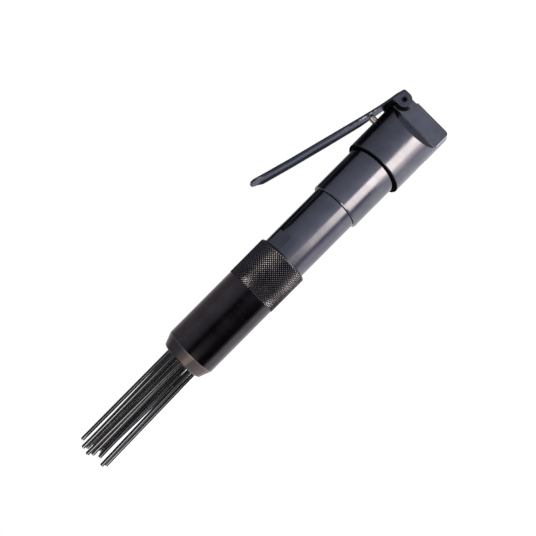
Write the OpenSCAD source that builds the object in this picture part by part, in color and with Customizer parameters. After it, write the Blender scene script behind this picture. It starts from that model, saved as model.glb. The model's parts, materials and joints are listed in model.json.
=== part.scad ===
// Inline air needle scaler.
// The tool lies along X: the air inlet opens at x = 0 facing +X, the needles point to -X, the lever is on +Z.
// A station is a distance forward of the inlet face, so station 54 lies at x = -54.

/* [Throttle head] */
// Radius of the round head
head_r = 22.8; // [22.4:0.1:23.5]
// Station of the head's front lip
head_front = 52; // [51:0.5:54]
// Half width across the spanner flats
head_flat_half = 9.9; // [9:0.1:10]
// Length of the spanner flats
head_flat_length = 13.4; // [12.5:0.1:14.5]
// Wall radius of the threaded air inlet
inlet_r = 6.6; // [5:0.1:6.8]
// Depth of the threaded air inlet
inlet_depth = 14; // [12:0.5:14]

/* [Barrel] */
// Outer radius of the exhaust sleeve
sleeve_r = 19.85; // [19.2:0.05:19.9]
// Station where the exhaust sleeve meets the barrel
sleeve_front = 90.3; // [90:0.1:92]
// Outer radius of the barrel
barrel_r = 18.1; // [17.8:0.1:18.1]
// Distance from the axis to each wrench flat of the barrel
barrel_flat_half = 17; // [16.8:0.1:17.4]
// Turn of the wrench flats about the tool axis, in degrees above the lever's side
barrel_flat_turn = 41; // [0:1:90]
// Radius of the piston bore
bore_r = 10; // [9.5:0.1:10.5]

/* [Collar and nose] */
// Outer radius of the knurled collar
collar_r = 20.75; // [20.5:0.05:21.5]
// Station of the collar's rear edge
collar_rear = 142.2; // [141.5:0.1:142.5]
// Station of the collar's front edge
collar_front = 175.1; // [174:0.1:176]
// Outer radius of the front housing
nose_r = 20.35; // [20:0.05:20.4]
// Station where the nose taper begins
taper_rear = 235.1; // [234:0.1:238]
// Station of the nose rim
nose_front = 244.4; // [243.5:0.1:245]
// Radius of the opening in the nose
nose_bore_r = 14.2; // [13.8:0.1:14.5]

/* [Needles] */
// Radius of a needle
needle_r = 1.5; // [1:0.1:1.5]
// Length of a needle
needle_length = 180; // [150:5:200]
// Radius of the ring of outer needles
outer_ring_r = 11.5; // [11:0.1:11.6]
// Radius of the ring of inner needles
inner_ring_r = 5; // [4:0.1:5]

/* [Lever] */
// Half width of the lever, over its ears and lips
lever_half = 12.5; // [11.5:0.1:12.5]
// Thickness of the lever's sheet
sheet = 1.5; // [1.3:0.1:1.6]
// Radius of the lever pin
lever_pin_r = 2; // [1.5:0.1:2]
// Radius of the throttle stem where it meets the lever
stem_r = 2.5; // [2:0.1:2.5]

/* [Hidden] */
$fn = 96;

// Small amounts: a cut's overrun, a running clearance and a face gap
over = 1;
run_gap = 0.05;
face_gap = 0.1;

// Throttle valve in the head: a vertical bore below the lever
valve_x = -26.1;
valve_bore_r = 5.5;
seat_z = 1;
bushing_top_z = 9;
bushing_port_z = 4.5;
bushing_port_r = 2.2;
seat_bore_r = 3.2;
ball_r = 4;
ball_z = seat_z - sqrt(ball_r * ball_r - seat_bore_r * seat_bore_r) - run_gap;
stem_tip_r = 1.6;
stem_top_z = 27.35;
stem_shoulder_z = 10.2;
stem_seal_z = 16;
seal_wire_r = 1;
plug_top_z = -13;
plug_r = 6.5;
plug_bottom_z = -22.1;
inlet_passage_z = -3;
inlet_passage_r = 2.5;

// Front cavity of the head: valve chests, then the barrel's thread
chest_rear = 34;
chest_split = 39;
barrel_rear = 46;
barrel_thread_r = 15.5;
chest_r = barrel_thread_r - run_gap;
lip_rear = 49;
lip_round = 1.1;
head_round = 2.8;
lip_gap = 0.7;
sleeve_rear = 49.6;

// Barrel and its working parts
land_rear = 84;
land_r = 17;
passage_ring_r = 12.75;
passage_r = 1.25;
passage_front = 107;
exhaust_port = 78.5;
piston_rear = 47;
piston_length = 28;
piston_r = bore_r - 0.04;
anvil_rear = 110.4;
bushing_rear = 126;
bushing_front = 144.5;
bushing_r = 13.5;
anvil_shank_r = 8;
anvil_flange_rear = 146.5;
anvil_flange_front = 152.8;
anvil_flange_r = 14.6;
socket_r = 15;
barrel_front = 158;
barrel_nose_r = 16.5;

// Needle pack
holder_rear = barrel_front + face_gap;
holder_front = 168;
holder_r = 16.6;
holder_boss_r = 14;
holder_boss_front = 170;
housing_bore_r = 16.9;
housing_rear = 157.5;
housing_thread_r = 18.2;
shoulder = 232;
head_of_needle_r = 2.4;
head_of_needle_length = 2.4;
needle_rear = holder_rear - face_gap - head_of_needle_length;
needle_bend = 194.5;
needle_front = needle_rear + needle_length;
// Angle of each needle's hole, from +Z towards -Y
outer_turns = [for (k = [0:8]) 11 + 40 * k];
inner_turns = [for (k = [0:2]) 93 + 120 * k];
// Where each worn needle's tip has drifted to, as [y, z]
needle_tips = [
    [3.1, 11], [-7.1, 6.5], [-10.7, 1.2], [-6.8, -11.7], [-0.8, -14], [6.2, -6.3],
    [11.8, -4.1], [10.3, 1.6], [3.4, 6.4], [-4, -1.8], [1.7, -6.8], [-2.4, 4.4]
];

// Lever: the top line of its web from the pivot end to the tip, and the lower line of its lips, as [x, z]
pivot_x = -6;
pivot_z = 18.4;
ear_r = 5.35;
ear_front_x = -11.3;
web_top = [
    [-0.8, 23.9], [-5.9, 25.4], [-11.2, 26.25], [-16.3, 27.2], [-21.5, 28.3],
    [-31.7, 30.75], [-88.7, 45.65], [-109.4, 51.4], [-120.5, 54.7]
];
lip_line = [
    [-120.5, 53.1], [-115.5, 51.6], [-112, 49.35], [-109.4, 48.55], [-88.7, 42.8], [-60, 35.3],
    [-31.7, 28.25], [-21.5, 26.45], [-16.3, 25.55], [ear_front_x, 24.6]
];
web_thickness = sheet * 1.03;
tip_corner_r = 8;

// Place a shape drawn along +Z so that it runs along -X from a station
module at_station(s) {
    translate([-s, 0, 0]) rotate([0, -90, 0]) children();
}

// A plain round bar between two stations
module bar(s0, s1, r) {
    at_station(s0) cylinder(h = s1 - s0, r = r);
}

// A round tube between two stations
module tube(s0, s1, r_out, r_in) {
    difference() {
        bar(s0, s1, r_out);
        bar(s0 - over, s1 + over, r_in);
    }
}

// A turned solid from [station, radius] points
module turned(points) {
    rotate([0, -90, 0]) rotate_extrude() polygon([for (p = points) [p[1], p[0]]]);
}

// Points of a quarter round between two directions, as [station, radius]
function arc(s, r, size, from, to, steps = 6) =
    [for (k = [0:steps]) let (a = from + (to - from) * k / steps) [s + size * cos(a), r + size * sin(a)]];

// Spring wire wound along +Z from 0 to its length, with flat closed ends left plain
module coil(length, coil_r, wire_r, turns) {
    steps = 18;
    sides = 6;
    count = turns * steps;
    climb = (length - 2 * wire_r) / count;
    points = [for (k = [0:count]) for (j = [0:sides - 1])
        let (a = 360 * k / steps, b = 360 * j / sides, r = coil_r + wire_r * cos(b))
        [r * cos(a), r * sin(a), wire_r + k * climb + wire_r * sin(b)]];
    walls = [for (k = [0:count - 1]) for (j = [0:sides - 1])
        let (n = (j + 1) % sides, p = k * sides, q = p + sides)
        each [[p + j, q + j, q + n], [p + j, q + n, p + n]]];
    ends = [[for (j = [0:sides - 1]) j], [for (j = [sides - 1:-1:0]) count * sides + j]];
    polyhedron(points, concat(walls, ends));
}

// A seal ring lying in the XY plane
module ring_seal(ring_r, wire) {
    rotate_extrude() translate([ring_r, 0]) circle(r = wire, $fn = 32);
}

module throttle_head() {
    color([0.27, 0.29, 0.35])
    difference() {
        turned(concat(
            [[0, 0]], arc(head_round, head_r - head_round, head_round, 180, 90),
            arc(head_front - lip_round, head_r - lip_round, lip_round, 90, 0), [[head_front, 0]]));
        head_flats();
        rear_step();
        air_ways();
        throttle_bore();
        bar(chest_rear, head_front + over, barrel_thread_r);
        bar(lip_rear, head_front + over, sleeve_r + lip_gap);
        translate([pivot_x, 0, pivot_z]) rotate([90, 0, 0]) cylinder(h = 60, r = lever_pin_r, center = true);
    }
}

// Spanner flats on both sides, each running out through a hollow ramp
module head_flats() {
    ramp_end = 24.5;
    rise = head_r - head_flat_half;
    run = ramp_end - head_flat_length;
    for (side = [-1, 1])
        translate([0, 0, -30]) linear_extrude(60)
            polygon(concat(
                [[over, side * head_flat_half]],
                [for (k = [0:6]) let (t = k / 6)
                    [-head_flat_length - run * t, side * (head_flat_half + rise * pow(t, 1.2))]],
                [[-ramp_end - 1.5, side * (head_r + 3)], [over, side * (head_r + 3)]]));
}

// The rear face stands back 1 mm beside and above the inlet boss
module rear_step() {
    rotate([90, 0, 0]) linear_extrude(60, center = true)
        polygon([[-1, 10.8], [over, 8.8], [over, 30], [-1, 30]]);
}

// Inlet thread, strainer seat, and the ways into and out of the throttle valve
module air_ways() {
    bar(-over, inlet_depth, inlet_r);
    bar(inlet_depth - over, inlet_depth + 2, 5.6);
    translate([0, 0, inlet_passage_z]) bar(inlet_depth, -valve_x, inlet_passage_r);
    translate([0, 0, bushing_port_z]) bar(-valve_x, chest_rear + over, bushing_port_r);
}

// Stepped vertical bore for the stem, bushing, ball, spring and plug
module throttle_bore() {
    translate([valve_x, 0, 0]) {
        translate([0, 0, plug_top_z - 2]) cylinder(h = bushing_top_z + 2 - plug_top_z, r = valve_bore_r);
        translate([0, 0, -30]) cylinder(h = 30 + plug_top_z, r = plug_r);
        cylinder(h = 40, r = stem_r + run_gap);
        translate([0, 0, stem_seal_z - 1.1]) cylinder(h = 2.2, r = stem_r + run_gap + 2 * seal_wire_r);
    }
}

module inlet_strainer() {
    color([0.75, 0.62, 0.35])
    difference() {
        bar(inlet_depth + 0.2, inlet_depth + 1.4, 5.6);
        for (ring = [0:2]) for (k = [0:max(1, 6 * ring) - 1])
            rotate([k * 60 / max(1, ring), 0, 0]) translate([0, 0, 1.75 * ring])
                bar(inlet_depth - over, inlet_depth + 3, 0.55);
    }
}

module valve_bushing() {
    color([0.78, 0.6, 0.3])
    translate([valve_x, 0, 0]) difference() {
        translate([0, 0, seat_z]) cylinder(h = bushing_top_z - seat_z, r = valve_bore_r);
        translate([0, 0, seat_z - over]) cylinder(h = bushing_top_z, r = seat_bore_r);
        translate([0, 0, bushing_port_z]) rotate([0, -90, 0]) cylinder(h = 10, r = bushing_port_r);
        translate([0, 0, bushing_top_z - 1.5]) cylinder(h = 3, r = stem_r + run_gap + 1);
    }
}

module valve_stem() {
    color([0.72, 0.67, 0.6])
    translate([valve_x, 0, 0]) {
        translate([0, 0, ball_z + ball_r]) cylinder(h = stem_shoulder_z - ball_z - ball_r, r = stem_tip_r);
        translate([0, 0, stem_shoulder_z]) cylinder(h = stem_top_z - 0.8 - stem_shoulder_z, r = stem_r);
        translate([0, 0, stem_top_z - 0.8]) cylinder(h = 0.8, r1 = stem_r, r2 = stem_r - 0.8);
    }
}

module valve_ball() {
    color([0.7, 0.71, 0.73])
    translate([valve_x, 0, ball_z]) sphere(r = ball_r);
}

module valve_spring() {
    color([0.6, 0.62, 0.65])
    translate([valve_x, 0, plug_top_z]) coil(ball_z - ball_r - plug_top_z + 1.3, 3.2, 0.25, 7);
}

module valve_plug() {
    color([0.3, 0.31, 0.36])
    translate([valve_x, 0, 0]) difference() {
        translate([0, 0, plug_bottom_z]) cylinder(h = plug_top_z - plug_bottom_z, r = plug_r);
        translate([0, 0, plug_bottom_z]) cube([14, 1.6, 3.2], center = true);
        translate([0, 0, -17]) difference() {
            cylinder(h = 2, r = plug_r + 1, center = true);
            cylinder(h = 3, r = plug_r - 1.9, center = true);
        }
    }
}

module plug_seal() {
    color([0.08, 0.08, 0.08])
    translate([valve_x, 0, -17]) ring_seal(plug_r - 0.95, 0.95);
}

module stem_seal() {
    color([0.08, 0.08, 0.08])
    translate([valve_x, 0, stem_seal_z]) ring_seal(stem_r + run_gap + seal_wire_r, seal_wire_r);
}

// Side outline of the whole lever, ears included down to the pivot
function lever_outline() = concat(web_top, lip_line, [[ear_front_x, pivot_z], [-0.65, pivot_z]]);

// Space below the web, between the lips and between the ears
function web_underside() = concat(
    [for (p = web_top) [p[0], p[1] - web_thickness]], [[-124, 54], [-124, 0], [5, 0], [5, 20.4]]);

// The lever from above: a strip with its two front corners rounded
module lever_plan() {
    length = -web_top[len(web_top) - 1][0];
    linear_extrude(60) {
        translate([tip_corner_r - length, -lever_half]) square([length, 2 * lever_half]);
        translate([-length, tip_corner_r - lever_half]) square([length, 2 * (lever_half - tip_corner_r)]);
        for (side = [-1, 1])
            translate([tip_corner_r - length, side * (lever_half - tip_corner_r)]) circle(r = tip_corner_r);
    }
}

module lever() {
    color([0.22, 0.23, 0.28])
    difference() {
        intersection() {
            rotate([90, 0, 0]) union() {
                linear_extrude(2 * lever_half, center = true) polygon(lever_outline());
                translate([pivot_x, pivot_z, 0]) cylinder(h = 2 * lever_half, r = ear_r, center = true);
            }
            lever_plan();
        }
        rotate([90, 0, 0]) linear_extrude(2 * (lever_half - sheet), center = true) polygon(web_underside());
        translate([pivot_x, 0, pivot_z]) rotate([90, 0, 0])
            cylinder(h = 60, r = lever_pin_r + run_gap, center = true);
    }
}

module lever_pin() {
    color([0.15, 0.15, 0.17])
    translate([pivot_x, 0, pivot_z]) rotate([90, 0, 0]) difference() {
        cylinder(h = 2 * lever_half + 0.4, r = lever_pin_r, center = true);
        cylinder(h = 60, r = lever_pin_r - 0.8, center = true);
        translate([0, -1.5, 0]) cube([0.7, 3, 60], center = true);
    }
}

// Rear half of the plate valve's case, with a plenum and the centre port
module valve_chest_rear() {
    color([0.62, 0.63, 0.66])
    difference() {
        bar(chest_rear, chest_split, chest_r);
        bar(chest_rear - over, chest_rear + 1.5, 8);
        bar(chest_rear, chest_split + over, 2.5);
        dowel_hole(36, chest_split + over);
    }
}

// Front half, with the plate's chamber, the ports to the bore and the ways to the long passages
module valve_chest_front() {
    color([0.66, 0.67, 0.7])
    difference() {
        bar(chest_split, barrel_rear, chest_r);
        bar(chest_split - over, chest_split + 2.2, 6.3);
        for (k = [0:3]) rotate([90 * k, 0, 0]) translate([0, 0, 4]) bar(chest_split, barrel_rear + over, 1);
        for (side = [-1, 1]) {
            translate([-chest_split - 0.5, side * 9.5, 0]) cube([2.4, 7.6, 2.4], center = true);
            translate([0, side * passage_ring_r, 0]) bar(chest_split, barrel_rear + over, passage_r);
        }
        dowel_hole(chest_split - over, barrel_rear + over);
    }
}

module dowel_hole(s0, s1) {
    rotate([45, 0, 0]) translate([0, 0, passage_ring_r]) bar(s0, s1, 1);
}

module valve_dowel() {
    color([0.7, 0.71, 0.73]) dowel_hole(36, 50);
}

module valve_plate() {
    color([0.55, 0.56, 0.6]) bar(chest_split + face_gap, chest_split + face_gap + 1.2, 6);
}

module barrel() {
    color([0.3, 0.32, 0.38])
    difference() {
        turned([
            [barrel_rear, bore_r], [barrel_rear, barrel_thread_r], [land_rear, barrel_thread_r],
            [land_rear, land_r], [86.2, land_r], [86.2, 15.5], [88, 15.5], [88, land_r],
            [sleeve_front, land_r], [sleeve_front, barrel_r - 0.4], [sleeve_front + 0.4, barrel_r],
            [collar_rear, barrel_r], [collar_rear, barrel_nose_r], [barrel_front, barrel_nose_r],
            [barrel_front, socket_r], [bushing_front, socket_r], [bushing_front, bushing_r],
            [bushing_rear, bushing_r], [bushing_rear, bore_r]]);
        wrench_flats();
        for (k = [0:5]) rotate([60 * k + 30, 0, 0]) translate([-exhaust_port, 0, 0]) cylinder(h = 20, r = 1.6);
        for (side = [-1, 1]) {
            translate([0, side * passage_ring_r, 0]) bar(barrel_rear - over, passage_front, passage_r);
            translate([-passage_front + 2 * passage_r, 0, 0]) rotate([-90 * side, 0, 0])
                cylinder(h = passage_ring_r, r = passage_r);
        }
        dowel_hole(barrel_rear - over, 50);
    }
}

// A pair of flats across the barrel, just behind the collar
module wrench_flats() {
    for (side = [-1, 1])
        rotate([side * 90 - barrel_flat_turn, 0, 0])
            translate([-136.3, 0, barrel_flat_half + 5]) cube([13.4, 40, 10], center = true);
}

module exhaust_sleeve() {
    color([0.32, 0.34, 0.41])
    turned(concat(
        [[sleeve_rear, land_r + 0.4], [sleeve_rear, sleeve_r - 0.5], [sleeve_rear + 0.5, sleeve_r]],
        arc(sleeve_front - 0.9, sleeve_r - 0.9, 0.9, 90, 0),
        [[sleeve_front, land_r + run_gap], [land_rear + 0.2, land_r + run_gap], [land_rear + 0.2, land_r + 0.4]]));
}

module sleeve_seal() {
    color([0.08, 0.08, 0.08]) at_station(87.1) ring_seal(16.25, 0.75);
}

module piston() {
    color([0.6, 0.61, 0.64])
    turned([
        [piston_rear, 0], [piston_rear, piston_r - 1], [piston_rear + 1, piston_r],
        [piston_rear + 8, piston_r], [piston_rear + 8, piston_r - 0.6], [piston_rear + 10, piston_r - 0.6],
        [piston_rear + 10, piston_r], [piston_rear + 18, piston_r], [piston_rear + 18, piston_r - 0.6],
        [piston_rear + 20, piston_r - 0.6], [piston_rear + 20, piston_r],
        [piston_rear + piston_length - 1, piston_r], [piston_rear + piston_length, piston_r - 1],
        [piston_rear + piston_length, 0]]);
}

module anvil_bushing() {
    color([0.74, 0.55, 0.3]) tube(bushing_rear, bushing_front, bushing_r, anvil_shank_r + run_gap);
}

module anvil_buffer() {
    color([0.1, 0.1, 0.1]) tube(bushing_front, anvil_flange_rear, 13, 9);
}

module anvil() {
    color([0.5, 0.51, 0.54])
    turned([
        [anvil_rear, 0], [anvil_rear, anvil_shank_r - 1], [anvil_rear + 1, anvil_shank_r],
        [anvil_flange_rear, anvil_shank_r], [anvil_flange_rear, anvil_flange_r - 0.6],
        [anvil_flange_rear + 0.6, anvil_flange_r], [anvil_flange_front - 0.6, anvil_flange_r],
        [anvil_flange_front, anvil_flange_r - 0.6], [anvil_flange_front, 0]]);
}

module locking_collar() {
    color([0.24, 0.22, 0.23])
    turned(concat(
        [[collar_rear, barrel_nose_r]], arc(collar_rear + 1.2, collar_r - 1.2, 1.2, 180, 90),
        [[collar_front - 0.3, collar_r], [collar_front, collar_r - 0.3], [collar_front, housing_thread_r],
        [housing_rear, housing_thread_r], [housing_rear, barrel_nose_r]]));
}

module front_housing() {
    color([0.17, 0.16, 0.18])
    turned(concat(
        [[housing_rear, housing_bore_r], [housing_rear, housing_thread_r], [collar_front, housing_thread_r],
        [collar_front, nose_r], [taper_rear, nose_r]],
        arc(nose_front - 1.8, 15.6, 1.8, 68, 0),
        [[nose_front, nose_bore_r + 0.4], [nose_front - 0.4, nose_bore_r],
        [shoulder, nose_bore_r], [shoulder, housing_bore_r]]));
}

module return_spring() {
    color([0.5, 0.51, 0.55])
    at_station(holder_front + face_gap) coil(shoulder - holder_front - 2 * face_gap, 15.5, 1, 9);
}

// Where needle i sits in the holder, as [y, z]
function needle_seat(i) = let (outer = i < 9, a = outer ? outer_turns[i] : inner_turns[i - 9],
    r = outer ? outer_ring_r : inner_ring_r) [-r * sin(a), r * cos(a)];

module needle_holder() {
    color([0.45, 0.46, 0.5])
    difference() {
        union() {
            bar(holder_rear, holder_front, holder_r);
            bar(holder_rear, holder_boss_front, holder_boss_r);
        }
        for (i = [0:11]) translate([0, needle_seat(i)[0], needle_seat(i)[1]])
            bar(holder_rear - over, holder_boss_front + over, needle_r + 0.08);
    }
}

// One needle: upset head, straight shank through holder and nose, then the worn end that leans to its tip.
// The leaning end starts just inside the shank and is a hair thinner, so that it grows out of the shank's end.
module needle(i) {
    seat = needle_seat(i);
    drift = needle_tips[i] - seat;
    reach = needle_front - needle_bend;
    lean = norm(drift);
    slope = atan2(lean, reach);
    turn = atan2(drift[1], drift[0]);
    lean_r = needle_r - 0.02;
    length = norm([reach, lean]);
    root = -0.3;
    tip = 0.5;
    color([0.33, 0.34, 0.36])
    translate([0, seat[0], seat[1]]) {
        turned([
            [needle_rear, 0], [needle_rear, head_of_needle_r],
            [needle_rear + head_of_needle_length, head_of_needle_r],
            [needle_rear + head_of_needle_length, needle_r], [needle_bend, needle_r], [needle_bend, 0]]);
        translate([-needle_bend, 0, 0]) rotate([turn, 0, 0]) rotate([0, 0, -slope])
            turned([[root, 0], [root, lean_r], [length - tip, lean_r], [length, lean_r - tip], [length, 0]]);
    }
}

throttle_head();
inlet_strainer();
valve_bushing();
valve_stem();
valve_ball();
valve_spring();
valve_plug();
plug_seal();
stem_seal();
lever();
lever_pin();
valve_chest_rear();
valve_plate();
valve_chest_front();
valve_dowel();
barrel();
exhaust_sleeve();
sleeve_seal();
piston();
anvil_bushing();
anvil_buffer();
anvil();
locking_collar();
front_housing();
return_spring();
needle_holder();
needle(0);  // needle_01
needle(1);  // needle_02
needle(2);  // needle_03
needle(3);  // needle_04
needle(4);  // needle_05
needle(5);  // needle_06
needle(6);  // needle_07
needle(7);  // needle_08
needle(8);  // needle_09
needle(9);  // needle_10
needle(10);  // needle_11
needle(11);  // needle_12
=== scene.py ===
import json
import math

import bmesh
import bpy
from mathutils import Matrix, Vector


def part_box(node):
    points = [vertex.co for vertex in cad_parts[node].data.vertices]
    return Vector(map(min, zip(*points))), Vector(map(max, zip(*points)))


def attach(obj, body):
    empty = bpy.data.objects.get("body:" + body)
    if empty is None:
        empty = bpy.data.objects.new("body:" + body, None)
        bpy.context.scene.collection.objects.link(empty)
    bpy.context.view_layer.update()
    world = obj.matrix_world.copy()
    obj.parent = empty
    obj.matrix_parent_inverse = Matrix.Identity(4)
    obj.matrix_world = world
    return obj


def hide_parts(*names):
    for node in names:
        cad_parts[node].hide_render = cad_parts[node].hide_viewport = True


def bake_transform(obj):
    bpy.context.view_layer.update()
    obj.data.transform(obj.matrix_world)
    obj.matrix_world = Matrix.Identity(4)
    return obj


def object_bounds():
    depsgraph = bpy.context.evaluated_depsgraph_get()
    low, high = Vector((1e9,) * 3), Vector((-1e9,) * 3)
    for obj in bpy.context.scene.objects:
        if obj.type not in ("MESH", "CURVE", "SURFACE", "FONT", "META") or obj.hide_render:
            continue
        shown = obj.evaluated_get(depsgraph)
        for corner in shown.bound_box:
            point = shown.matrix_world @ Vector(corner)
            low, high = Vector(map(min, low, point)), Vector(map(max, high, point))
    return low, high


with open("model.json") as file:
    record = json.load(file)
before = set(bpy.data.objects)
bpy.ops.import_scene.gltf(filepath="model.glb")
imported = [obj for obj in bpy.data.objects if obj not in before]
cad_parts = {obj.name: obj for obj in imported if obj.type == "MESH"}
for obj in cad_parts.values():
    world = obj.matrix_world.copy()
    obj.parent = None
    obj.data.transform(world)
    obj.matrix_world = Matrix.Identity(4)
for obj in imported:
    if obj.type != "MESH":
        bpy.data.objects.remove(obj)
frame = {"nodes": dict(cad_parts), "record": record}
NODES = frame["nodes"]
cad_low, cad_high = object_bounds()

MM = 0.001
TAU = 2 * math.pi

# Places on the tool, from the frame
collar_low, collar_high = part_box("locking_collar")
COLLAR_R = collar_high[2]
COLLAR_FRONT = collar_low[0]
COLLAR_REAR = collar_high[0]
HEAD_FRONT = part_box("throttle_head")[0][0]
LEVER_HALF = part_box("lever")[1][1]
pin_low, pin_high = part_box("lever_pin")
PIVOT_X = (pin_low[0] + pin_high[0]) / 2
PIVOT_Z = (pin_low[2] + pin_high[2]) / 2


# Camera: the photograph looks square at the tool's side, turned 45 degrees in the picture plane

PHOTO_PX = 536
MM_PER_PX = 0.714
SENSOR_MM = 36.0
CAMERA_DISTANCE_PX = 553
CAMERA_FOOT_X_MM = -189.9
CAMERA_FOOT_Z_MM = 3.3
CAMERA_ROLL_DEG = 45.16
SHIFT = 0.066


def make_camera():
    data = bpy.data.cameras.new("photo_camera")
    data.sensor_width = SENSOR_MM
    data.lens = SENSOR_MM * CAMERA_DISTANCE_PX / PHOTO_PX
    data.shift_x = SHIFT
    data.shift_y = SHIFT
    data.clip_start = 0.01
    data.clip_end = 60
    camera = bpy.data.objects.new("photo_camera", data)
    bpy.context.collection.objects.link(camera)
    roll = math.radians(CAMERA_ROLL_DEG)
    right = Vector((math.cos(roll), 0, -math.sin(roll)))
    up = Vector((math.sin(roll), 0, math.cos(roll)))
    back = Vector((0, -1, 0))
    turn = Matrix((right, up, back)).transposed().to_4x4()
    place = Vector((CAMERA_FOOT_X_MM, -CAMERA_DISTANCE_PX * MM_PER_PX, CAMERA_FOOT_Z_MM)) * MM
    camera.matrix_world = Matrix.Translation(place) @ turn
    bpy.context.scene.camera = camera


# Node helpers

NOISE_ROUGHNESS = 0.55


class Tree:
    """A node tree being built. A value is a socket, a number or a colour."""

    def __init__(self, tree):
        self.nodes = tree.nodes
        self.links = tree.links

    def add(self, kind, **settings):
        node = self.nodes.new(kind)
        for key, value in settings.items():
            setattr(node, key, value)
        return node

    def fill(self, socket, value):
        if isinstance(value, bpy.types.NodeSocket):
            self.links.new(value, socket)
        elif isinstance(value, tuple):
            socket.default_value = (*value, 1)
        else:
            socket.default_value = value

    def math(self, operation, a, b=0.0, clamp=False):
        node = self.add("ShaderNodeMath", operation=operation, use_clamp=clamp)
        self.fill(node.inputs[0], a)
        self.fill(node.inputs[1], b)
        return node.outputs[0]

    def times(self, first, *others):
        """The product of two or more values."""
        product = first
        for value in others:
            product = self.math("MULTIPLY", product, value)
        return product

    def reach(self, across, up):
        """Distance of a point from the place that it lies across and up from."""
        return self.math("SQRT", self.math("ADD", self.times(across, across), self.times(up, up)))

    def span(self, value, low, high, to_low=0.0, to_high=1.0):
        """A smooth step: to_low where value is low, to_high where it is high."""
        node = self.add("ShaderNodeMapRange", interpolation_type="SMOOTHSTEP")
        self.links.new(value, node.inputs["Value"])
        node.inputs["From Min"].default_value = low
        node.inputs["From Max"].default_value = high
        node.inputs["To Min"].default_value = to_low
        node.inputs["To Max"].default_value = to_high
        return node.outputs["Result"]

    def edge(self, value, edge_mm):
        """A smooth step across an edge: 0 at its first place and 1 at its second, both in mm."""
        return self.span(value, edge_mm[0] * MM, edge_mm[1] * MM)

    def blend(self, amount, a, b):
        """Colour a where amount is 0, colour b where it is 1."""
        node = self.add("ShaderNodeMix", data_type="RGBA")
        self.links.new(amount, node.inputs[0])
        self.fill(node.inputs[6], a)
        self.fill(node.inputs[7], b)
        return node.outputs[2]

    def split(self, vector):
        """The X, Y and Z of a vector."""
        node = self.add("ShaderNodeSeparateXYZ")
        self.links.new(vector, node.inputs[0])
        return tuple(node.outputs)


class Shader(Tree):
    """A material being built: its nodes, its principled shader, and the place x, y, z on the tool."""

    def __init__(self, name, base, rough, metallic=1.0):
        self.material = bpy.data.materials.new(name)
        self.material.use_nodes = True
        super().__init__(self.material.node_tree)
        self.surface = self.nodes["Principled BSDF"]
        self.surface.inputs["Base Color"].default_value = (*base, 1)
        self.surface.inputs["Metallic"].default_value = metallic
        self.surface.inputs["Roughness"].default_value = rough
        self.coords = self.add("ShaderNodeTexCoord").outputs
        self.x, self.y, self.z = self.split(self.coords["Object"])

    def noise(self, scale, stretch=(1, 1, 1), detail=3.0, shift=0.0):
        place = self.add("ShaderNodeMapping")
        place.inputs["Scale"].default_value = [scale * s for s in stretch]
        place.inputs["Location"].default_value = (shift, shift, shift)
        self.links.new(self.coords["Object"], place.inputs["Vector"])
        node = self.add("ShaderNodeTexNoise")
        node.inputs["Scale"].default_value = 1.0
        node.inputs["Detail"].default_value = detail
        node.inputs["Roughness"].default_value = NOISE_ROUGHNESS
        self.links.new(place.outputs[0], node.inputs["Vector"])
        return node.outputs["Fac"]

    def colour(self, value):
        self.links.new(value, self.surface.inputs["Base Color"])

    def rough(self, value):
        self.links.new(value, self.surface.inputs["Roughness"])

    def bump(self, height, depth_m):
        node = self.add("ShaderNodeBump")
        node.inputs["Strength"].default_value = 1.0
        node.inputs["Distance"].default_value = depth_m
        self.links.new(height, node.inputs["Height"])
        self.links.new(node.outputs[0], self.surface.inputs["Normal"])


# Materials

# Where the painted shadow of the lever's ears on the head's flats ends, from the pivot and along the tool, in
# mm
EAR_SHADOW_REACH_MM = (8.4, 7.0)
EAR_SHADOW_REAR_MM = (-3.5, -8.5)
# The painted highlight along the lower edge of the head's flat: its two sides, its top and its rear end, in
# mm
FLAT_HIGHLIGHT_INNER_MM = (9.5, 9.8)
FLAT_HIGHLIGHT_OUTER_MM = (10.9, 10.5)
FLAT_HIGHLIGHT_TOP_MM = (-19.9, -20.2)
FLAT_HIGHLIGHT_REAR_MM = (-13.5, -12.0)
# The nose along the tool, in mm: where the taper, the painted highlight line at its corner and the rim begin
TAPER_MM = (-234.6, -235.4)
TAPER_HIGHLIGHT_MM = (-236.0, -235.6)
RIM_MM = (-243.7, -244.2)
# The lower line of the lever's lips: height plus slope times X is level
LIP_SLOPE = 0.249
LIP_HEIGHT = 20.36 * MM
# Where the worn specks on the lips begin and end along the tool, in mm
SPECKS_FRONT_MM = (-56.0, -30.0)
SPECKS_REAR_MM = (-12.5, -14.5)
# Where the working end of the needles begins, in mm
NEEDLE_END_MM = (-334.0, -336.0)


def turning_marks(s, dark, light, rough):
    """Fine rings round the X axis, clouds of bluing, finger smudges. Returns the colour."""
    clouds = s.noise(55, detail=4)
    rings = s.noise(900, stretch=(4, 0.03, 0.03), detail=2)
    smudge = s.noise(120, stretch=(0.5, 1, 1), detail=5, shift=3.1)
    smudged = s.span(smudge, 0.35, 0.75, rough - 0.05, rough + 0.08)
    s.rough(s.math("ADD", smudged, s.span(rings, 0.3, 0.7, -0.03, 0.03)))
    s.bump(rings, 2.5e-6)
    return s.blend(s.span(clouds, 0.3, 0.7), dark, light)


def barrel_steel(name):
    """Blued steel turned on a lathe."""
    dark, light, rough = (0.155, 0.157, 0.19), (0.20, 0.20, 0.235), 0.13
    s = Shader(name, light, rough)
    s.colour(turning_marks(s, dark, light, rough))
    return s.material


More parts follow.
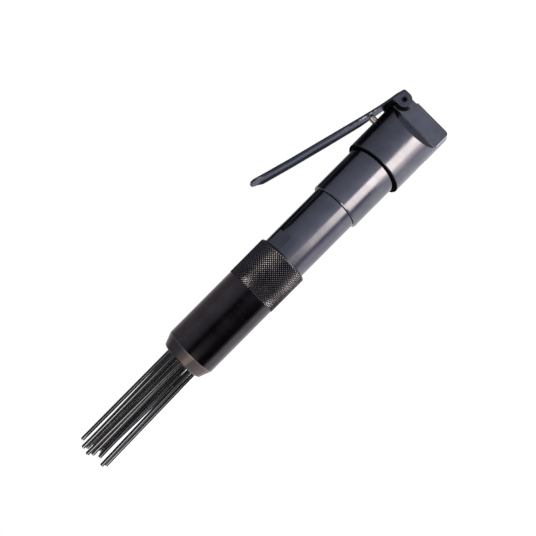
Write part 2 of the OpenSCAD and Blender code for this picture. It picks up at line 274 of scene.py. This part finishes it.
def head_steel(name):
    """Turned steel whose front face is painted black and matt as the shade in the gap between the head and
    the sleeve, with painted shadow of the lever's ears on the flats round the pivot and a painted highlight
    along the lower edge of each flat.
    """
    dark, light, rough = (0.15, 0.152, 0.182), (0.195, 0.196, 0.23), 0.17
    s = Shader(name, light, rough)
    bluing = turning_marks(s, dark, light, rough)
    # Painted shade: the head's front face is made black, standing for the shade in the gap between the head
    # and the sleeve.
    facing_x = s.split(s.coords["Normal"])[0]
    front = s.times(s.span(facing_x, -0.2, -0.5), s.span(s.x, HEAD_FRONT + 5 * MM, HEAD_FRONT + 2 * MM))
    # Painted shadow: the flats round the lever's pivot are darkened where the ears shade them.
    from_pivot = s.reach(s.math("SUBTRACT", s.x, PIVOT_X), s.math("SUBTRACT", s.z, PIVOT_Z))
    ear_shadow = s.times(s.edge(from_pivot, EAR_SHADOW_REACH_MM), s.edge(s.x, EAR_SHADOW_REAR_MM))
    # All the painted dark: the shaded front face and the ears' shadow.
    black = s.math("MAXIMUM", front, ear_shadow)
    # Painted highlight: a light line along the lower edge of each flat, where its bevel would catch the
    # light.
    side = s.math("ABSOLUTE", s.y)
    flat_highlight = s.times(s.edge(side, FLAT_HIGHLIGHT_INNER_MM), s.edge(side, FLAT_HIGHLIGHT_OUTER_MM),
                     s.edge(s.z, FLAT_HIGHLIGHT_TOP_MM), s.edge(s.x, FLAT_HIGHLIGHT_REAR_MM))
    # The painted highlight and the painted shade laid over the bluing.
    s.colour(s.blend(black, s.blend(flat_highlight, bluing, (0.95, 0.93, 0.92)), (0.006, 0.006, 0.007)))
    # Where it is painted dark the head is not metal and, with no specular level, mirrors nothing.
    s.links.new(s.math("SUBTRACT", 1.0, black), s.surface.inputs["Metallic"])
    s.surface.inputs["Specular IOR Level"].default_value = 0.0
    return s.material


def housing_steel(name):
    """Polished blackened steel, brown where the taper's bluing has worn."""
    s = Shader(name, (0.05, 0.045, 0.05), 0.14)
    clouds = s.noise(70, detail=4)
    scuffs = s.noise(260, stretch=(1, 0.3, 0.3), detail=6, shift=1.7)
    body = s.blend(s.span(clouds, 0.3, 0.7), (0.068, 0.062, 0.072), (0.092, 0.084, 0.092))
    taper = s.edge(s.x, TAPER_MM)
    body = s.blend(taper, body, (0.125, 0.103, 0.100))
    # Painted highlight: a light line at the corner where the taper meets the cylinder.
    body = s.blend(s.times(taper, s.edge(s.x, TAPER_HIGHLIGHT_MM)), body, (0.19, 0.17, 0.165))
    s.colour(s.blend(s.edge(s.x, RIM_MM), body, (0.30, 0.27, 0.24)))
    s.rough(s.span(scuffs, 0.4, 0.8, 0.12, 0.16))
    s.bump(scuffs, 1e-7)
    return s.material


def collar_steel(name):
    """Blackened in the grooves, worn to bare coppery metal on the crests."""
    s = Shader(name, (0.2, 0.15, 0.13), 0.3)
    radius = s.reach(s.y, s.z)
    slope = s.span(radius, COLLAR_R - 0.50 * MM, COLLAR_R - 0.20 * MM)
    crest = s.span(radius, COLLAR_R - 0.20 * MM, COLLAR_R - 0.04 * MM)
    band = s.span(s.x, COLLAR_REAR - 1.3 * MM, COLLAR_REAR - 1.6 * MM)
    patches = s.span(s.noise(420, detail=3), 0.3, 0.75)
    worn = s.blend(patches, (0.40, 0.36, 0.38), (0.80, 0.68, 0.66))
    body = s.blend(slope, (0.012, 0.012, 0.015), (0.062, 0.062, 0.074))
    s.colour(s.blend(s.times(crest, band), body, worn))
    s.rough(s.span(patches, 0, 1, 0.26, 0.18))
    return s.material


def lever_steel(name):
    """Stamped and blackened sheet, satin, its cut lower edges worn bright in specks near the pivot."""
    s = Shader(name, (0.075, 0.08, 0.10), 0.30, metallic=0.9)
    grain = s.noise(900, stretch=(0.35, 1, 1), detail=4)
    clouds = s.noise(60, detail=3, shift=5.2)
    base = s.blend(s.span(clouds, 0.3, 0.7), (0.058, 0.064, 0.084), (0.090, 0.097, 0.124))
    specks = s.span(s.noise(700, detail=2, shift=8.0), 0.50, 0.58)
    height = s.math("ADD", s.z, s.times(s.x, LIP_SLOPE))
    low = s.span(height, LIP_HEIGHT + 1.0 * MM, LIP_HEIGHT + 0.5 * MM)
    outer = s.span(s.math("ABSOLUTE", s.y), LEVER_HALF - 0.3 * MM, LEVER_HALF - 0.1 * MM)
    near_pivot = s.times(s.edge(s.x, SPECKS_FRONT_MM), s.edge(s.x, SPECKS_REAR_MM))
    s.colour(s.blend(s.times(specks, low, outer, near_pivot), base, (0.95, 0.94, 0.94)))
    s.surface.inputs["Specular Tint"].default_value = (0.42, 0.44, 0.52, 1)
    s.rough(s.span(grain, 0.3, 0.7, 0.26, 0.34))
    s.bump(grain, 1e-6)
    return s.material


def needle_steel(name):
    """Drawn wire, dark with use, streaked along its length and brighter at the working end."""
    s = Shader(name, (0.2, 0.2, 0.21), 0.2)
    streaks = s.noise(350, stretch=(0.02, 1, 1), detail=3)
    spots = s.noise(90, stretch=(0.4, 1, 1), detail=5, shift=2.4)
    base = s.blend(s.span(streaks, 0.3, 0.7), (0.046, 0.046, 0.050), (0.082, 0.080, 0.083))
    s.colour(s.blend(s.edge(s.x, NEEDLE_END_MM), base, (0.15, 0.145, 0.14)))
    s.rough(s.span(spots, 0.35, 0.75, 0.14, 0.20))
    s.bump(streaks, 2e-7)
    return s.material


def ground_metal(name, base, rough):
    """Ground or polished small part."""
    s = Shader(name, base, rough)
    grain = s.noise(1500, detail=3)
    s.rough(s.span(grain, 0.3, 0.7, rough - 0.06, rough + 0.08))
    s.bump(grain, 2e-6)
    return s.material


def seal_rubber(name):
    """Matt black rubber with a faint moulded grain."""
    s = Shader(name, (0.02, 0.02, 0.021), 0.6, metallic=0.0)
    grain = s.noise(2500, detail=3)
    s.rough(s.span(grain, 0.3, 0.7, 0.5, 0.7))
    s.bump(grain, 8e-6)
    return s.material


# Colour and roughness of the small metal parts
GROUND_METALS = {
    "pin_steel": ((0.022, 0.021, 0.023), 0.35),
    "stem_steel": ((0.66, 0.60, 0.53), 0.22),
    "bright_steel": ((0.5, 0.51, 0.54), 0.25),
    "spring_steel": ((0.33, 0.34, 0.38), 0.3),
    "brass": ((0.72, 0.52, 0.24), 0.3),
    "bronze": ((0.6, 0.42, 0.22), 0.32),
}

MATERIALS = {name: ground_metal(name, *look) for name, look in GROUND_METALS.items()}
for make in (head_steel, barrel_steel, housing_steel, collar_steel, lever_steel, needle_steel, seal_rubber):
    MATERIALS[make.__name__] = make(make.__name__)


# CAD nodes

# Edge breaks of the turned and milled nodes, in mm
EDGE_BREAKS = {"throttle_head": 0.45, "exhaust_sleeve": 0.15, "barrel": 0.12, "front_housing": 0.15,
               "valve_stem": 0.15, "lever_pin": 0.12, "valve_plug": 0.2}
NEEDLE_BREAK = 0.35
LEVER_BREAK = 0.22
# Corners sharper than this, in degrees, are broken
SHARP_DEG = 46


def soften(piece, width_mm, harden=True):
    """Break a piece's sharp edges."""
    edges = piece.modifiers.new("edges", "BEVEL")
    edges.width = width_mm * MM
    edges.segments = 2
    edges.limit_method = "ANGLE"
    edges.angle_limit = math.radians(SHARP_DEG)
    edges.use_clamp_overlap = True
    edges.harden_normals = harden


def paint(piece, slot):
    """The piece takes the material of a slot and no other."""
    piece.data.materials.clear()
    piece.data.materials.append(MATERIALS[slot])


def dress_cad_nodes():
    """Each CAD node takes the material of its slot, and those in view a fine edge break."""
    for entry in frame["record"]["subparts"]:
        name = entry["node"]
        piece = NODES[name]
        paint(piece, entry["material_slot"])
        if name in EDGE_BREAKS:
            soften(piece, EDGE_BREAKS[name])
        elif entry["material_slot"] == "needle_steel":
            soften(piece, NEEDLE_BREAK)


# Mesh helpers

def add_object(name, mesh):
    piece = bpy.data.objects.new(name, mesh)
    bpy.context.collection.objects.link(piece)
    return piece


def build_object(name, build):
    """An object whose mesh the function build makes in bmesh code, its faces turned outward."""
    grid = bmesh.new()
    build(grid)
    bmesh.ops.recalc_face_normals(grid, faces=grid.faces)
    mesh = bpy.data.meshes.new(name)
    grid.to_mesh(mesh)
    grid.free()
    return add_object(name, mesh)


def lathe_point(grid, x, r, a):
    """A point at station x, r away from the X axis, at the angle a round it."""
    return grid.verts.new((x, r * math.cos(a), r * math.sin(a)))


def skin(grid, rows, ring=True):
    """Faces between each row of points and the next. A ring's last point joins its first."""
    for one, two in zip(rows, rows[1:]):
        for k in range(len(one) if ring else len(one) - 1):
            n = (k + 1) % len(one)
            grid.faces.new((one[k], one[n], two[n], two[k]))


# Knurled collar

KNURL_COUNT = 66
KNURL_STEPS = 8
KNURL_DEPTH = 0.6 * MM
# Share of the depth at the first and last row of diamonds, and its gain with each row inward
KNURL_FRONT = (0.7, 1 / 2)
KNURL_REAR = (0.2, 1 / 3)
COLLAR_BORE_FRONT = 18.2 * MM
COLLAR_BORE_REAR = 16.5 * MM
COLLAR_FRONT_EDGE = 0.35 * MM
COLLAR_REAR_ROUND = 1.3 * MM
REAR_ROUND_STEPS = 6


def triangle_wave(t):
    return 1 - abs(2 * (t % 1.0) - 1)


def knurl_height(x, a):
    """Height of the diamonds, 0 in the grooves and 1 on the slightly flattened crests."""
    round_way = a / TAU * KNURL_COUNT
    along = x / (TAU * COLLAR_R / KNURL_COUNT)
    one = triangle_wave(round_way + along)
    two = triangle_wave(round_way - along)
    return min(1.0, 1.1 * min(one, two))


def make_collar():
    band_front = COLLAR_FRONT + COLLAR_FRONT_EDGE
    band_rear = COLLAR_REAR - COLLAR_REAR_ROUND
    row_gap = TAU * COLLAR_R / KNURL_COUNT / KNURL_STEPS
    count = int((band_rear - band_front) / row_gap)
    points = KNURL_COUNT * KNURL_STEPS

    def plain(r):
        return lambda a: r

    def knurled(x, fade):
        return lambda a: COLLAR_R - KNURL_DEPTH * (1 - knurl_height(x, a)) * fade

    def build(grid):
        rows = [(COLLAR_FRONT, plain(COLLAR_BORE_FRONT)), (COLLAR_FRONT, plain(COLLAR_R - 0.55 * MM)),
                (COLLAR_FRONT + 0.1 * MM, plain(COLLAR_R - 0.3 * MM))]
        for k in range(count + 1):
            x = band_front + (band_rear - band_front) * k / count
            fade = min(1.0, KNURL_FRONT[0] + k * KNURL_FRONT[1], KNURL_REAR[0] + (count - k) * KNURL_REAR[1])
            rows.append((x, knurled(x, fade)))
        for k in range(1, REAR_ROUND_STEPS + 1):
            t = math.pi / 2 * k / REAR_ROUND_STEPS
            rows.append((band_rear + COLLAR_REAR_ROUND * math.sin(t),
                         plain(COLLAR_R - 0.1 * MM - COLLAR_REAR_ROUND * (1 - math.cos(t)))))
        rows.append((COLLAR_REAR, plain(COLLAR_BORE_REAR)))
        angles = [TAU * k / points for k in range(points)]
        loops = [[lathe_point(grid, x, r_at(a), a) for a in angles] for x, r_at in rows]
        skin(grid, loops + loops[:1])

    collar = build_object("knurled_collar", build)
    paint(collar, "collar_steel")
    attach(collar, "tool_body")
    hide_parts("locking_collar")


# Lever: the CAD lever cut by a solid that has the bends' outer radius

BEND_R = 2.4 * MM
BEND_STEPS = 8
# How far the cutter's sides stand clear of the lever's
CUTTER_SPARE = 0.05 * MM
# Top line of the lever's web, from the tip to the pivot end, as (x, z) in mm
LEVER_TOP_MM = (
    (-120.5, 54.7), (-109.4, 51.4), (-88.7, 45.65), (-31.7, 30.75), (-21.5, 28.3), (-16.3, 27.2),
    (-11.2, 26.25), (-5.9, 25.4), (-0.8, 23.9))


def make_bend_cutter():
    """A bar under the web's top line, its two upper edges rounded, as wide as the lever."""
    quarter = []
    for k in range(BEND_STEPS + 1):
        t = math.pi / 2 * k / BEND_STEPS
        quarter.append((LEVER_HALF - BEND_R * (1 - math.sin(t)), BEND_R * (1 - math.cos(t))))
    across = [(-y, drop) for y, drop in reversed(quarter)] + quarter
    foot_half = LEVER_HALF + CUTTER_SPARE
    first, last = LEVER_TOP_MM[0], LEVER_TOP_MM[-1]
    line = ((first[0] - 1, first[1] + 0.3), *LEVER_TOP_MM, (last[0] + 1, last[1] - 0.3))

    def build(grid):
        loops = []
        for x_mm, top_mm in line:
            x, top = x_mm * MM, top_mm * MM
            loop = [grid.verts.new((x, y, top - drop)) for y, drop in across]
            loop += [grid.verts.new((x, y, 0)) for y in (foot_half, -foot_half)]
            loops.append(loop)
        skin(grid, loops)
        grid.faces.new(loops[0])
        grid.faces.new(list(reversed(loops[-1])))

    return build_object("bend_cutter", build)


def make_lever():
    lever = add_object("stamped_lever", NODES["lever"].data.copy())
    cutter = make_bend_cutter()
    cut = lever.modifiers.new("bends", "BOOLEAN")
    cut.operation = "INTERSECT"
    cut.solver = "EXACT"
    cut.object = cutter
    bpy.context.view_layer.update()
    graph = bpy.context.evaluated_depsgraph_get()
    shaped = bpy.data.meshes.new_from_object(lever.evaluated_get(graph))
    lever.modifiers.clear()
    lever.data = shaped
    bpy.data.objects.remove(cutter)
    paint(lever, "lever_steel")
    soften(lever, LEVER_BREAK, harden=False)
    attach(lever, "lever_body")
    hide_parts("lever")


# Springs

def make_spring(node, axis):
    """A wound spring copied from the CAD node in spring steel, in place of the node, which is hidden."""
    low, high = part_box(node)
    fixed_end, moving_end = Vector((0, 0, 0)), Vector((0, 0, 0))
    fixed_end[axis] = low[axis]
    moving_end[axis] = high[axis]
    spring = add_object("wound_" + node, NODES[node].data.copy())
    paint(spring, "spring_steel")
    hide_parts(node)
    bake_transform(spring)


# Inlet thread: a quarter inch pipe thread, whose crests stand inward of the bore

THREAD_PITCH = 1.337 * MM
THREAD_ROOT = 6.58 * MM
THREAD_CREST = 5.85 * MM
THREAD_START = -0.6 * MM
THREAD_TURNS = 9
THREAD_STEPS = 72
# One turn's section, as shares of the pitch and radii
THREAD_SECTION = ((0.0, THREAD_ROOT), (0.42, THREAD_CREST), (0.58, THREAD_CREST), (1.0, THREAD_ROOT))


def make_inlet_thread():
    def build(grid):
        rows = []
        for k in range(THREAD_TURNS * THREAD_STEPS + 1):
            a = TAU * k / THREAD_STEPS
            x = THREAD_START - THREAD_PITCH * k / THREAD_STEPS
            rows.append([lathe_point(grid, x - THREAD_PITCH * share, r, a) for share, r in THREAD_SECTION])
        skin(grid, rows, ring=False)

    thread = build_object("inlet_thread", build)
    paint(thread, "head_steel")
    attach(thread, "tool_body")


# Stage and light

FLOOR_HALF = 12.0
FLOOR_GREY = (0.9, 0.9, 0.9)
FLOOR_GLOW = 0.9

# What metal sees round the tool, as (degrees, colour): 0 in front, 90 above, -90 below
WALL_STOPS = (
    (-180, (0.45, 0.45, 0.47)), (-160, (0.70, 0.70, 0.72)), (-95, (0.92, 0.90, 0.97)),
    (-84, (0.92, 0.88, 0.96)), (-74, (0.60, 0.57, 0.64)), (-66, (0.36, 0.35, 0.40)),
    (-40, (0.55, 0.55, 0.58)), (-18, (0.72, 0.71, 0.74)), (0, (0.50, 0.53, 0.60)),
    (20, (0.37, 0.39, 0.46)), (50, (0.30, 0.32, 0.37)), (86, (0.21, 0.22, 0.25)),
    (98, (0.14, 0.14, 0.16)), (108, (0.012, 0.010, 0.014)), (140, (0.012, 0.010, 0.014)),
    (160, (0.30, 0.30, 0.32)), (180, (0.45, 0.45, 0.47)))
# The same where it looks towards the nose end of the room
FRONT_STOPS = (
    (-180, (0.60, 0.65, 0.75)), (-150, (0.75, 0.85, 1.0)), (-95, (0.92, 0.87, 0.90)),
    (-50, (0.64, 0.66, 0.68)), (-38, (0.62, 0.62, 0.62)), (-31, (1.36, 1.23, 1.14)),
    (-8, (1.30, 1.20, 1.12)), (3, (0.75, 0.72, 0.72)), (23, (0.56, 0.57, 0.63)),
    (50, (0.24, 0.26, 0.34)), (90, (0.20, 0.22, 0.29)), (130, (0.30, 0.28, 0.30)),
    (155, (0.36, 0.33, 0.34)), (180, (0.60, 0.62, 0.66)))
# And the dark side of the room that the nose stands in front of
DARK_STOPS = (
    (-180, (0.45, 0.45, 0.47)), (-160, (0.70, 0.70, 0.72)), (-95, (0.75, 0.74, 0.78)),
    (-88, (0.62, 0.60, 0.66)), (-80, (0.16, 0.16, 0.18)), (-73, (0.02, 0.015, 0.022)),
    (8, (0.02, 0.015, 0.022)), (20, (0.16, 0.15, 0.18)), (30, (0.26, 0.25, 0.28)),
    (62, (0.36, 0.34, 0.37)), (90, (0.34, 0.30, 0.32)), (125, (0.42, 0.35, 0.37)),
    (145, (0.55, 0.50, 0.52)), (180, (0.45, 0.45, 0.47)))
# Where the dark side, the nose end and the black end wall begin and end, by how far a look leans to +X
DARK_REAR = (0.13, 0.04)
DARK_FRONT = (-0.6, -0.45)
NOSE_END = (-0.45, -0.6)
END_WALL = (-0.86, -0.93)
# White behind the tool, from below it to its back, in degrees
BEHIND_DEG = ((-84, -98), (-180, -176))
# Lit windows: a warm softbox, a strip light, and a skirt of light under the softbox. Each has a colour,
# its edges round the tool in degrees, and its edges by how far a look leans to +X
WINDOWS = (
    ((5.0, 4.5, 3.75), ((-63, -46), (-16, -26)), ((0.09, 0.37),)),
    ((11.0, 10.8, 10.5), ((-46, -38), (-2, -10)), ((-0.14, -0.33), (-0.55, -0.45))),
    ((2.2, 2.0, 1.75), ((-84, -60), (-46, -60)), ((0.31, 0.35),)),
)


def make_floor():
    """A pale floor that keeps the tool's shadow and looks white to the camera."""
    data = bpy.data.meshes.new("floor")
    corners = ((-1, -1), (1, -1), (1, 1), (-1, 1))
    data.from_pydata([(FLOOR_HALF * x, FLOOR_HALF * y, cad_low[2]) for x, y in corners], [], [(0, 1, 2, 3)])
    floor = add_object("floor", data)
    material = bpy.data.materials.new("floor")
    material.use_nodes = True
    tree = Tree(material.node_tree)
    tree.nodes.clear()
    grey = tree.add("ShaderNodeBsdfDiffuse")
    tree.fill(grey.inputs["Color"], FLOOR_GREY)
    glow = tree.add("ShaderNodeEmission")
    seen = tree.add("ShaderNodeLightPath").outputs["Is Camera Ray"]
    tree.links.new(tree.times(seen, FLOOR_GLOW), glow.inputs["Strength"])
    both = tree.add("ShaderNodeAddShader")
    tree.links.new(grey.outputs[0], both.inputs[0])
    tree.links.new(glow.outputs[0], both.inputs[1])
    out = tree.add("ShaderNodeOutputMaterial")
    tree.links.new(both.outputs[0], out.inputs["Surface"])
    data.materials.append(material)
    floor.visible_glossy = False
    floor.visible_shadow = False


def make_world():
    """White to the camera, and to metal below and behind the tool. Above and in front metal sees the studio:
    a cool wall, a dark gap overhead, a dark side in front of the nose, a warm softbox and a strip light."""
    world = bpy.data.worlds.new("studio")
    bpy.context.scene.world = world
    world.use_nodes = True
    room = Tree(world.node_tree)
    room.nodes.clear()
    along, depth, height = room.split(room.add("ShaderNodeTexCoord").outputs["Generated"])

    # Angle round the tool in degrees: 0 in front of it, 90 above, -90 below, 180 behind
    angle = room.math("DEGREES", room.math("ARCTAN2", height, room.times(depth, -1.0)))
    turn = room.add("ShaderNodeMapRange")
    room.links.new(angle, turn.inputs["Value"])
    turn.inputs["From Min"].default_value = -180
    turn.inputs["From Max"].default_value = 180

    def ramp(stops):
        node = room.add("ShaderNodeValToRGB")
        room.links.new(turn.outputs["Result"], node.inputs["Fac"])
        marks = node.color_ramp.elements
        while len(marks) < len(stops):
            marks.new(0.5)
        for mark, (degrees, colour) in zip(marks, stops):
            mark.position = (degrees + 180) / 360
            mark.color = (*colour, 1)
        return node.outputs["Color"]

    def add_light(light, shape, colour):
        box = room.add("ShaderNodeVectorMath", operation="SCALE")
        box.inputs[0].default_value = colour
        room.links.new(shape, box.inputs["Scale"])
        lit = room.add("ShaderNodeVectorMath", operation="ADD")
        room.links.new(light, lit.inputs[0])
        room.links.new(box.outputs[0], lit.inputs[1])
        return lit.outputs[0]

    dark_side = room.times(room.span(along, *DARK_REAR), room.span(along, *DARK_FRONT))
    studio = room.blend(dark_side, ramp(WALL_STOPS), ramp(DARK_STOPS))
    studio = room.blend(room.span(along, *NOSE_END), studio, ramp(FRONT_STOPS))
    studio = room.blend(room.span(along, *END_WALL), studio, (0.0, 0.0, 0.0))
    for colour, edges_round, edges_along in WINDOWS:
        shape = room.times(*(room.span(angle, *edge) for edge in edges_round),
                           *(room.span(along, *edge) for edge in edges_along))
        studio = add_light(studio, shape, colour)

    path = room.add("ShaderNodeLightPath").outputs
    behind = room.times(*(room.span(angle, *edge) for edge in BEHIND_DEG))
    metal = room.math("ADD", path["Is Glossy Ray"], path["Is Transmission Ray"])
    white = room.math("ADD", path["Is Camera Ray"], room.times(metal, behind), clamp=True)
    background = room.add("ShaderNodeBackground")
    room.links.new(room.blend(white, studio, (1.0, 1.0, 1.0)), background.inputs["Color"])
    background.inputs["Strength"].default_value = 1.0
    out = room.add("ShaderNodeOutputWorld")
    room.links.new(background.outputs[0], out.inputs["Surface"])


def make_lamp(name, aim, way, distance, size, power, colour):
    """A soft lamp that stands the given way from the point it lights, and that metal doesn't mirror."""
    data = bpy.data.lights.new(name, "AREA")
    data.shape = "RECTANGLE"
    data.size, data.size_y = size
    data.energy = power
    data.color = colour
    lamp = add_object(name, data)
    way = Vector(way).normalized()
    lamp.location = Vector(aim) + way * distance
    lamp.rotation_mode = "QUATERNION"
    lamp.rotation_quaternion = way.to_track_quat("Z", "X")
    lamp.visible_camera = False
    lamp.visible_glossy = False


scene = bpy.context.scene
scene.view_settings.view_transform = "Standard"
make_camera()
make_world()
make_floor()
make_lamp("key", aim=(-0.07, 0, 0), way=(0.36, -0.72, -0.60), distance=0.7, size=(0.50, 0.38), power=1.1,
          colour=(1.0, 0.93, 0.87))
make_lamp("top", aim=(-0.15, 0, 0), way=(0.15, -0.35, 1.0), distance=0.9, size=(0.7, 0.5), power=3.0,
          colour=(0.97, 0.98, 1.0))
dress_cad_nodes()
make_collar()
make_lever()
make_inlet_thread()
make_spring("valve_spring", 2)
make_spring("return_spring", 0)
